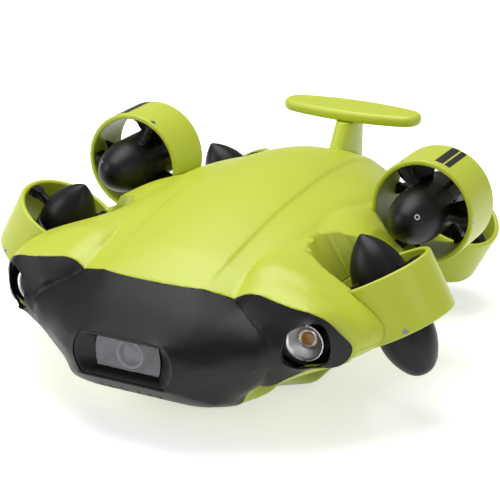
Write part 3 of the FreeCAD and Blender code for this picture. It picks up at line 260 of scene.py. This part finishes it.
def copy_node(node, name):
    """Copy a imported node's mesh into a new piece and merge its loose triangles."""
    deselect()
    piece = bpy.data.objects.new(name, nodes[node].data.copy())
    scene.collection.objects.link(piece)
    take_up(piece)
    bpy.ops.object.mode_set(mode="EDIT")
    bpy.ops.mesh.select_all(action="SELECT")
    bpy.ops.mesh.remove_doubles(threshold=MERGE_REACH)
    bpy.ops.object.mode_set(mode="OBJECT")
    piece.data.materials.clear()
    return piece


def settle(piece, material, body="hull", stands_for=()):
    """Give a finished piece its material and its body, and the nodes that it stands for."""
    piece.data.materials.clear()
    piece.data.materials.append(material)
    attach(piece, body)
    if stands_for:
        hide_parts(*stands_for)


def dress(node, material, angle=32, body="hull", name=None):
    """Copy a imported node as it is, shade it and let the copy stand for it."""
    skin = copy_node(node, name or node + "_skin")
    shade(skin, angle)
    settle(skin, material, body, [node])


# Each pull has a place, a move and a reach in millimetres on the port side, and fades out smoothly.
# The first eight round the fairing and the ear round a lamp, and the last three tuck in the belly.
PULLS = (
    ((84, -147, 67), (1, -9, 0), 36),
    ((104, -146, 66), (4, -3, 0), 24),
    ((98, -144, 85), (2, 0, 2.5), 26),
    ((111, -140, 79), (4, -1, 4), 24),
    ((117, -139, 62), (3, 1, -7), 20),
    ((76, -141, 98), (0, 0, -4), 28),
    ((72, -157, 70), (9, -3, 0), 24),
    ((68, -152, 46), (6, -2, 0), 24),
    ((62, -108, 3), (-3, 0, 9), 44),
    ((58, -142, 8), (-2, 0, 4), 34),
    ((76, -88, 12), (-2, 0, 7), 34),
)
LAMP_FLOOR = -0.1405  # the pulls that bring a fairing forward end here, and leave the lamps' seats
FLOOR_BLEND = 0.005
FORWARD_MM = -2  # a pull that moves further forward than this counts as one of them
EAR_FRONT_MM = -150  # the pull in front of this has no lamp behind it


def ease_form(piece):
    """Draw a shell towards the round form of the real fairing with the pulls, on both sides alike."""
    mesh = piece.data
    place = np.empty(len(mesh.vertices) * 3)
    mesh.vertices.foreach_get("co", place)
    place = place.reshape(-1, 3)
    start = place.copy()
    for spot, move, reach in PULLS:
        for side in (1, -1):
            turn = np.array((side, 1, 1))
            apart = np.linalg.norm(start - np.array(spot) * turn / 1000, axis=1) / (reach / 1000)
            share = np.clip(1 - apart ** 2, 0, 1) ** 2
            if move[1] < FORWARD_MM and spot[1] > EAR_FRONT_MM:
                share = share * np.clip((LAMP_FLOOR - start[:, 1]) / FLOOR_BLEND, 0, 1)
            place += share[:, None] * np.array(move) * turn / 1000
    mesh.vertices.foreach_set("co", place.ravel())
    mesh.update()


REFINE_ROUNDS = 5


def refine(piece, wanted, longest):
    """Split the long edges that a rule picks by their two ends, so that the form can be rounded."""
    take_up(piece)
    for _ in range(REFINE_ROUNDS):
        bpy.ops.object.mode_set(mode="EDIT")
        bpy.ops.mesh.select_all(action="DESELECT")
        bpy.ops.object.mode_set(mode="OBJECT")
        points = piece.data.vertices
        found = 0
        for edge in piece.data.edges:
            first, second = (points[index].co for index in edge.vertices)
            edge.select = (first - second).length > longest and wanted(first, second)
            found += edge.select
        if not found:
            return
        bpy.ops.object.mode_set(mode="EDIT")
        bpy.ops.mesh.select_mode(type="EDGE")
        bpy.ops.mesh.subdivide(number_cuts=1)
        bpy.ops.object.mode_set(mode="OBJECT")


SHARP = math.radians(35)


def soften(piece, low, high, passes):
    """Even out the faces inside a box, and leave the edges of cut-outs and seams where they are."""
    take_up(piece)
    bpy.ops.object.mode_set(mode="EDIT")
    bpy.ops.mesh.select_mode(type="EDGE")
    bpy.ops.mesh.select_all(action="DESELECT")
    bpy.ops.mesh.edges_select_sharp(sharpness=SHARP)
    bpy.ops.mesh.select_mode(type="VERT")
    bpy.ops.object.mode_set(mode="OBJECT")
    for point in piece.data.vertices:
        spot = (abs(point.co.x), point.co.y, point.co.z)
        inside = all(low[k] <= spot[k] <= high[k] for k in range(3))
        point.select = inside and not point.select
    for element in (*piece.data.edges, *piece.data.polygons):
        element.select = False
    bpy.ops.object.mode_set(mode="EDIT")
    bpy.ops.mesh.vertices_smooth(factor=0.5, repeat=passes)
    bpy.ops.object.mode_set(mode="OBJECT")


def ahead(limit):
    """Return a rule that picks the edges ahead of a limit along the keel."""
    return lambda first, second: (first.y + second.y) / 2 < limit


# The crown is a shallow raised panel. Its edge runs from the nose to the handle as a soft ridge,
# given here as places along the keel and half widths in millimetres.
CREST_PLACES = (-150, -117, -85, -21, 12, 45, 77, 110)
CREST_HALF_WIDTHS = (36.4, 37.8, 38.3, 37.0, 35.1, 32.5, 29.1, 24.8)
CREST_HEIGHT = 0.0011
CREST_RAMP = 0.0026
CREST_FADE = 0.03
CREST_LOWEST = 0.07  # the whole ridge lies above this
CREST_BAND = 0.0035  # how far to each side of the ridge the faces are made finer
CREST_ENDS = (-0.155, 0.115)


def past_crest(point):
    """Return how far a point lies outside the ridge of the crown."""
    return abs(point.x) - np.interp(point.y * 1000, CREST_PLACES, CREST_HALF_WIDTHS) / 1000


def by_crest(first, second):
    """Pick the edges on the upper side that cross the ridge or lie close beside it."""
    front, back = CREST_ENDS
    if min(first.z, second.z) < CREST_LOWEST:
        return False
    if min(first.y, second.y) > back or max(first.y, second.y) < front:
        return False
    before, behind = past_crest(first), past_crest(second)
    return before * behind < 0 or min(abs(before), abs(behind)) < CREST_BAND


def raise_crown(piece):
    """Lift the crown inside the ridge, and let the lift fade out at the nose and at the handle."""
    front, back = CREST_PLACES[0] / 1000, CREST_PLACES[-1] / 1000
    for point in piece.data.vertices:
        if point.co.z < CREST_LOWEST:
            continue
        share = min(max(0.5 - past_crest(point.co) / CREST_RAMP, 0), 1)
        fade = min((point.co.y - front) / CREST_FADE, (back - point.co.y) / CREST_FADE, 1)
        point.co.z += CREST_HEIGHT * share * share * (3 - 2 * share) * max(fade, 0)


# how far back the shells are eased, how fine their faces are made there, and the box round the
# lamps whose faces are evened out
SHELL_EASED_TO = -0.09
SHELL_FACE = 0.005
SHELL_SOFT_BOX = ((0.0, -0.18, 0.004), (0.14, -0.128, 0.13))
CREST_FACE = 0.002

# satin, with a soft wide highlight
shell_plastic = lime_plastic("satin_moulded_abs_shell", box_middle("upper_shell"))
for node in ("upper_shell", "lower_shell"):
    skin = copy_node(node, node + "_skin")
    refine(skin, ahead(SHELL_EASED_TO), SHELL_FACE)
    ease_form(skin)
    soften(skin, *SHELL_SOFT_BOX, 30)
    if node == "upper_shell":
        refine(skin, by_crest, CREST_FACE)
        raise_crown(skin)
    shade(skin, 32)
    settle(skin, shell_plastic, stands_for=[node])

# ---- chine strips ----
# The hull's wall is thin where its flank turns into the belly. A strip of the same ABS stiffens it
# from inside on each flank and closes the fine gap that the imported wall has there.

STRIP_SIZE = (0.0014, 0.032, 0.007)
STRIP_PLACE = (0.06525, -0.04, 0.0077)
STRIP_LEAN = math.radians(-42)
STRIP_ROUNDING = 0.0004
for side, across in (("port", 1), ("starboard", -1)):
    deselect()
    bpy.ops.mesh.primitive_cube_add(size=1)
    strip = bpy.context.object
    strip.name = side + "_chine_strip"
    take_up(strip)
    strip.scale = STRIP_SIZE
    strip.rotation_euler = (0, STRIP_LEAN * across, 0)
    strip.location = (STRIP_PLACE[0] * across, *STRIP_PLACE[1:])
    bpy.ops.object.transform_apply(location=True, rotation=True, scale=True)
    bpy.ops.object.modifier_add(type="BEVEL")
    strip.modifiers[-1].width = STRIP_ROUNDING
    strip.modifiers[-1].segments = 2
    bpy.ops.object.modifier_apply(modifier=strip.modifiers[-1].name)
    shade(strip, 40)
    settle(strip, shell_plastic)

# ---- front mask ----
# The mask is a black glass-filled nylon moulding with a satin skin. It carries the camera and both
# lamps, and its chin has a row of slots that let water drain.


def black_nylon(name, centre, tone="#0C0C0E", rough=(0.36, 0.5)):
    """Satin black moulded nylon with a fine grain."""
    # 0.6 mm grains: the real ones are finer than would show
    return grained_material(
        name, centre, 1600.0, rough, 0.00008,
        Base_Color=linear(tone), IOR=1.5, Specular_IOR_Level=0.3)


MASK_EASED_TO = -0.06
MASK_FACE = 0.0035
MASK_SOFT_BOX = ((0.0, -0.2, 0.004), (0.14, -0.06, 0.13))

# satin, a little greyer than the gloss of the bezel
mask_nylon = black_nylon("satin_black_nylon_mask", box_middle("front_mask"))
skin = copy_node("front_mask", "front_mask_skin")
refine(skin, ahead(MASK_EASED_TO), MASK_FACE)
ease_form(skin)
soften(skin, *MASK_SOFT_BOX, 60)
shade(skin, 35)
settle(skin, mask_nylon, stands_for=["front_mask"])

# ---- camera ----
# A dark bezel with a flared recess holds a clear acrylic window. Behind it sit the camera's black
# housing and a turned barrel with a wide glass lens, whose rings show through the window.

# moulded against a polished tool, so a little glossier than the mask
bezel_nylon = black_nylon(
    "smooth_black_nylon_bezel", box_middle("camera_bezel"), "#09090B", (0.28, 0.36))
dress("camera_bezel", bezel_nylon)

# sprayed, so it has an even dull surface without grain
housing_metal = grained_material(
    "grey_coated_camera_housing", box_middle("camera_housing"), 1800.0, (0.42, 0.5), 0,
    Base_Color=linear("#A6A7AC"), Metallic=0.2, IOR=1.5)
dress("camera_housing", housing_metal)

# turned and anodised, which rings the lens with a soft sheen
barrel_metal = grained_material(
    "anodised_aluminium_barrel", box_middle("lens_barrel"), 2200.0, (0.34, 0.4), 0,
    Base_Color=linear("#77787E"), Metallic=0.3)
dress("lens_barrel", barrel_metal)

# polished and coated, so its highlight is small and sharp
lens_glass = grained_material(
    "coated_optical_glass", box_middle("camera_lens"), 900.0, (0.04, 0.07), 0,
    Base_Color=linear("#4A4B52"), IOR=1.6)
dress("camera_lens", lens_glass, 50)

# cast and polished, clear with hardly any haze
window_acrylic, tree, shader = new_material(
    "polished_acrylic_window", Base_Color=linear("#E4E6EA"), IOR=1.49, Transmission_Weight=1.0)
haze = add_node(
    tree, "ShaderNodeTexNoise", values={"Scale": 60.0},
    links={"Vector": object_place(tree, box_middle("camera_window"))})
rough = add_node(
    tree, "ShaderNodeMapRange",
    values={"To Min": 0.01, "To Max": 0.03}, links={"Value": haze.outputs["Fac"]})
tree.links.new(rough.outputs[0], shader.inputs["Roughness"])
dress("camera_window", window_acrylic)

# ---- lamps ----
# Each lamp is a metallised reflector cup with a round emitter at its bottom: a phosphor-coated
# chip under clear silicone, which looks amber when it is off.

# vapour-coated plastic, bright with a slightly spread reflection
reflector_metal = grained_material(
    "metallised_reflector", (0, 0, 0), 1500.0, (0.26, 0.38), 0.00012,
    Base_Color=linear("#D9D9DA"), Metallic=1.0)
# the silicone gives the amber powder a wet look
phosphor, tree, shader = new_material("amber_phosphor_under_silicone", IOR=1.41, Coat_Weight=0.6)
place = object_place(tree, (0, 0, 0))
two_tones(tree, shader, place, 900.0, 2.0, "#A87428", "#C48E3C")
fine_grain(tree, shader, place, 1200.0, 0.3, 0.42, 0.00005)
for side in ("port", "starboard"):
    for part, material in (("reflector", reflector_metal), ("emitter", phosphor)):
        dress(
            "lamp_%s_%s" % (part, side), material, 35, name="lamp_%s_skin_%s" % (part, side))

# ---- thrusters ----
# Six ducted thrusters: a lime moulded ring round a black nose cone, a motor can, a three-bladed
# propeller on a steel shaft and a black tail cone. Two rows are canted, and the middle row lies level.

joints = {joint["child"]: joint for joint in frame["joints"]}
ROWS = [(row, side) for row in ("front", "middle", "rear") for side in ("port", "starboard")]
duct_plastic = lime_plastic("satin_moulded_abs_duct", (0, 0, 0))
pod_nylon = black_nylon("satin_black_nylon_pod", (0, 0, 0), "#0D0D0F", (0.34, 0.46))
# the blades come smoother from the tool than the pods
blade_nylon = black_nylon("moulded_black_nylon_blades", (0, 0, 0), "#0B0B0D", (0.3, 0.4))
# a dipped varnish over steel, dull and dark
motor_coat = grained_material(
    "dip_coated_motor_can", (0, 0, 0), 1500.0, (0.35, 0.5), 0.00004,
    Base_Color=linear("#2B2C30"), Metallic=0.3)
# turned and left bare, bright with fine tool marks
turned_steel = grained_material(
    "turned_stainless_steel", (0, 0, 0), 2600.0, (0.24, 0.36), 0.00003,
    Base_Color=linear("#B4B4B8"), Metallic=1.0)

for row, side in ROWS:
    name = row + "_" + side
    for part, material, slot, angle in (
        ("duct", duct_plastic, "duct", 32),
        ("nose_bracket", pod_nylon, "pod", 40),
        ("tail_bracket", pod_nylon, "pod", 40),
        ("motor", motor_coat, "motor", 32),
        ("propeller", blade_nylon, "propeller", 45),
        ("propeller_shaft", turned_steel, "steel", 32),
    ):
        body = name + "_rotor" if part.startswith("propeller") else "hull"
        dress(name + "_" + part, material, angle, body)

# ---- duct screws ----
# Three stainless socket screws in each ring hold the nose bracket's struts. Each sits in the ring's
# wall with its head flush, and the hexagon in the head shows dark.


def upright(direction):
    """Return the turn that brings a piece's Z axis onto a direction."""
    return direction.to_track_quat("Z", "Y").to_matrix().to_4x4()


def thruster_axis(row, side):
    """Return a thruster's middle and the direction of its shaft."""
    joint = joints[row + "_" + side + "_rotor"]
    return Vector(joint["pos_m"]), Vector(joint["axis"]).normalized()


SOCKET_SHARE = 0.65  # a socket's depth, as a share of its head's
# head radius and depth, socket radius, shank radius and length
DUCT_SCREW = (0.0018, 0.0012, 0.00095, 0.001, 0.0053)


def press_face(piece, up, inset, depth):
    """Inset the piece's end face and push it along Z, up or down."""
    bpy.ops.object.mode_set(mode="OBJECT")
    sign = 1 if up else -1
    ends = [face for face in piece.data.polygons if face.normal.z * sign > 0.9]
    outermost = max(ends, key=lambda face: face.center.z * sign)
    for element in (*piece.data.vertices, *piece.data.edges, *piece.data.polygons):
        element.select = False
    outermost.select = True
    bpy.ops.object.mode_set(mode="EDIT")
    bpy.ops.mesh.select_mode(type="FACE")
    bpy.ops.mesh.inset(thickness=inset, depth=0)
    bpy.ops.mesh.extrude_region_move(TRANSFORM_OT_translate={"value": (0, 0, depth)})
    bpy.ops.object.mode_set(mode="OBJECT")


def socket_screw(name, radius, head, socket, shank, length):
    """Model a cap screw with its head's top on the origin: a socket above, a shank below."""
    deselect()
    bpy.ops.mesh.primitive_cylinder_add(
        vertices=36, radius=radius, depth=head, location=(0, 0, -head / 2))
    screw = bpy.context.object
    screw.name = name
    take_up(screw)
    bpy.ops.object.transform_apply(location=True, rotation=True, scale=True)
    press_face(screw, True, radius - socket, -head * SOCKET_SHARE)
    press_face(screw, False, radius - shank, -length)
    shade(screw, 30)
    return screw


def place_copy(piece, name, place):
    """Copy a piece with its own mesh and put the place into the mesh."""
    copy = bpy.data.objects.new(name, piece.data.copy())
    scene.collection.objects.link(copy)
    copy.data.transform(place)
    return copy


screw = socket_screw("duct_screw", *DUCT_SCREW)
loose = copy_node("duct_screws", "duct_screw_places")
take_up(loose)
bpy.ops.object.mode_set(mode="EDIT")
bpy.ops.mesh.separate(type="LOOSE")
bpy.ops.object.mode_set(mode="OBJECT")
placed = []
for part in list(bpy.context.selected_objects):
    points = [point.co.copy() for point in part.data.vertices]
    middle = sum(points, Vector()) / len(points)
    lines = [thruster_axis(row, side) for row, side in ROWS]
    hub, axis = min(lines, key=lambda line: (middle - line[0]).length)
    arm = middle - hub
    arm -= axis * arm.dot(axis)
    outward = arm.normalized()
    reach = max((point - middle).dot(outward) for point in points)
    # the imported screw's axis runs through its middle, so the head's top is the reach away from it
    place = Matrix.Translation(middle + outward * reach) @ upright(outward)
    placed.append(place_copy(screw, "duct_screw_%d" % len(placed), place))
for part in [item for item in bpy.data.objects if item.name.startswith("duct_screw_places")]:
    bpy.data.objects.remove(part)
deselect()
for copy in placed:
    copy.select_set(True)
bpy.context.view_layer.objects.active = placed[0]
bpy.ops.object.join()
screws = bpy.context.object
screws.name = "duct_socket_screws"
settle(screws, turned_steel, stands_for=["duct_screws"])

# ---- nose cone screws ----
# One small steel cap screw sits off the axis of each nose cone and closes the cone on its motor.

CONE_SCREW = (0.0019, 0.0018, 0.0011, 0.001, 0.003)
CONE_SCREW_OFFSET = 0.011
CONE_SCREW_SIDEWAYS = 0.76
CONE_SCREW_UP = 0.65
CONE_SCREW_PROUD = 0.0004
RAY_START = 0.02

cone_screw = socket_screw("cone_screw", *CONE_SCREW)
for row, side in ROWS:
    hub, axis = thruster_axis(row, side)
    outboard = Vector((1 if side == "port" else -1, 0, 0))
    across = (outboard - axis * outboard.dot(axis)).normalized()
    rise = Vector((0, 0, 1)) if row == "middle" else axis.cross(across)
    offset = (across * CONE_SCREW_SIDEWAYS + rise * CONE_SCREW_UP).normalized() * CONE_SCREW_OFFSET
    skin = bpy.data.objects[row + "_" + side + "_nose_bracket_skin"]
    tip = max((point.co - hub).dot(-axis) for point in skin.data.vertices)
    hit, spot, normal, _ = skin.ray_cast(hub - axis * (tip + RAY_START) + offset, axis)
    if hit:
        # the head stands a little out of the cone's curved face
        turn = Matrix.Translation(spot + normal * CONE_SCREW_PROUD) @ upright(normal)
        settle(place_copy(cone_screw, row + "_" + side + "_cone_screw", turn), turned_steel)

# ---- ring stripes ----
# The middle rings carry two black printed bands on their upper outer side, one wide and one
# narrow. They run along the ring's axis and are a film's thickness proud of it.

FILM = 0.00012
BAND_BACK = 0.0025
BAND_LENGTH = 0.031
BAND_CUTS = 11
# each band's edges, in degrees from the ring's top towards its outer side
BANDS = (("wide", 9.5, 18.5), ("narrow", 20.5, 27.0))

# screen printed, thin and duller than the ring
film = grained_material(
    "black_screen_print", (0, 0, 0), 1500.0, (0.4, 0.5), 0.00003,
    Base_Color=linear("#151514"), IOR=1.5)
for side, outward in (("port", 1), ("starboard", -1)):
    low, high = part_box("middle_" + side + "_duct")
    middle, axis = thruster_axis("middle", side)
    radius = (high.z - low.z) / 2 + FILM
    back = high.y - BAND_BACK
    for band, first, last in BANDS:
        deselect()
        bpy.ops.mesh.primitive_plane_add(size=1, location=(0, 0, 0))
        stripe = bpy.context.object
        stripe.name = "middle_%s_%s_band" % (side, band)
        bpy.ops.object.mode_set(mode="EDIT")
        bpy.ops.mesh.select_all(action="SELECT")
        bpy.ops.mesh.subdivide(number_cuts=BAND_CUTS)
        bpy.ops.object.mode_set(mode="OBJECT")
        for point in stripe.data.vertices:
            turn = math.radians(first + (last - first) * (point.co.x + 0.5))
            point.co = Vector((
                middle.x + outward * radius * math.sin(turn),
                back - BAND_LENGTH * (point.co.y + 0.5),
                middle.z + radius * math.cos(turn),
            ))
        take_up(stripe)
        bpy.ops.object.mode_set(mode="EDIT")
        bpy.ops.mesh.select_all(action="SELECT")
        bpy.ops.mesh.normals_make_consistent(inside=False)
        bpy.ops.object.mode_set(mode="OBJECT")
        bpy.ops.object.modifier_add(type="SOLIDIFY")
        stripe.modifiers[-1].thickness = FILM * 1.5
        stripe.modifiers[-1].offset = -1 if stripe.data.polygons[0].normal.z > 0 else 1
        bpy.ops.object.modifier_apply(modifier=stripe.modifiers[-1].name)
        shade(stripe, 30)
        settle(stripe, film)

# ---- handle ----
# The handle is one hollow moulding: an oval bar along the beam on a flared, leaning post.

handle_plastic = lime_plastic("satin_moulded_abs_handle", box_middle("handle_bar"))
for node in ("handle_bar", "handle_post"):
    dress(node, handle_plastic, 40)

# ---- tail socket, belly plate and shell screws ----
# The tail ends in a blank black socket for a tether's gland. A coated steel plate in the belly takes
# accessories, and six steel screws beside it hold the shells.

socket_nylon = black_nylon(
    "satin_black_nylon_socket", box_middle("tether_socket"), "#151517", (0.32, 0.42))
dress("tether_socket", socket_nylon)

# powder coat, matt with a slight orange peel
plate_coat = grained_material(
    "powder_coated_steel_plate", box_middle("belly_plate"), 1400.0, (0.45, 0.6), 0.0001,
    Base_Color=linear("#1C1C1F"), Metallic=0.2)
# both sit in the lower shell, so they follow its eased form
for node, longest, material, slot in (
    ("belly_plate", 0.005, plate_coat, "plate"), ("shell_screws", 0.003, turned_steel, "steel"),
):
    skin = copy_node(node, node + "_skin")
    refine(skin, ahead(0), longest)
    ease_form(skin)
    shade(skin, 32)
    settle(skin, material, stands_for=[node])

# ---- inside ----
# A sealed aluminium capsule holds the battery pack and the main board. The closed shells hide them,
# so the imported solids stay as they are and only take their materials.

for node, name, grain, rough, height, values in (
    # machined and anodised: a soft metallic sheen
    ("pressure_hull", "anodised_aluminium_capsule", 1800.0, (0.3, 0.42), 0.00004,
     {"Base_Color": linear("#8F9196"), "Metallic": 0.9}),
    # tight film: glossy, with shallow creases
    ("battery_pack", "blue_shrink_wrap", 300.0, (0.2, 0.35), 0.0002,
     {"Base_Color": linear("#1D2C4A"), "IOR": 1.46}),
    # solder resist over a weave: half gloss
    ("main_board", "glass_epoxy_board", 1200.0, (0.35, 0.5), 0.00006,
     {"Base_Color": linear("#1C4A2C"), "IOR": 1.55}),
):
    material = grained_material(name, box_middle(node), grain, rough, height, **values)
    nodes[node].data.materials.clear()
    nodes[node].data.materials.append(material)

for pattern in (screw, cone_screw):
    bpy.data.objects.remove(pattern)
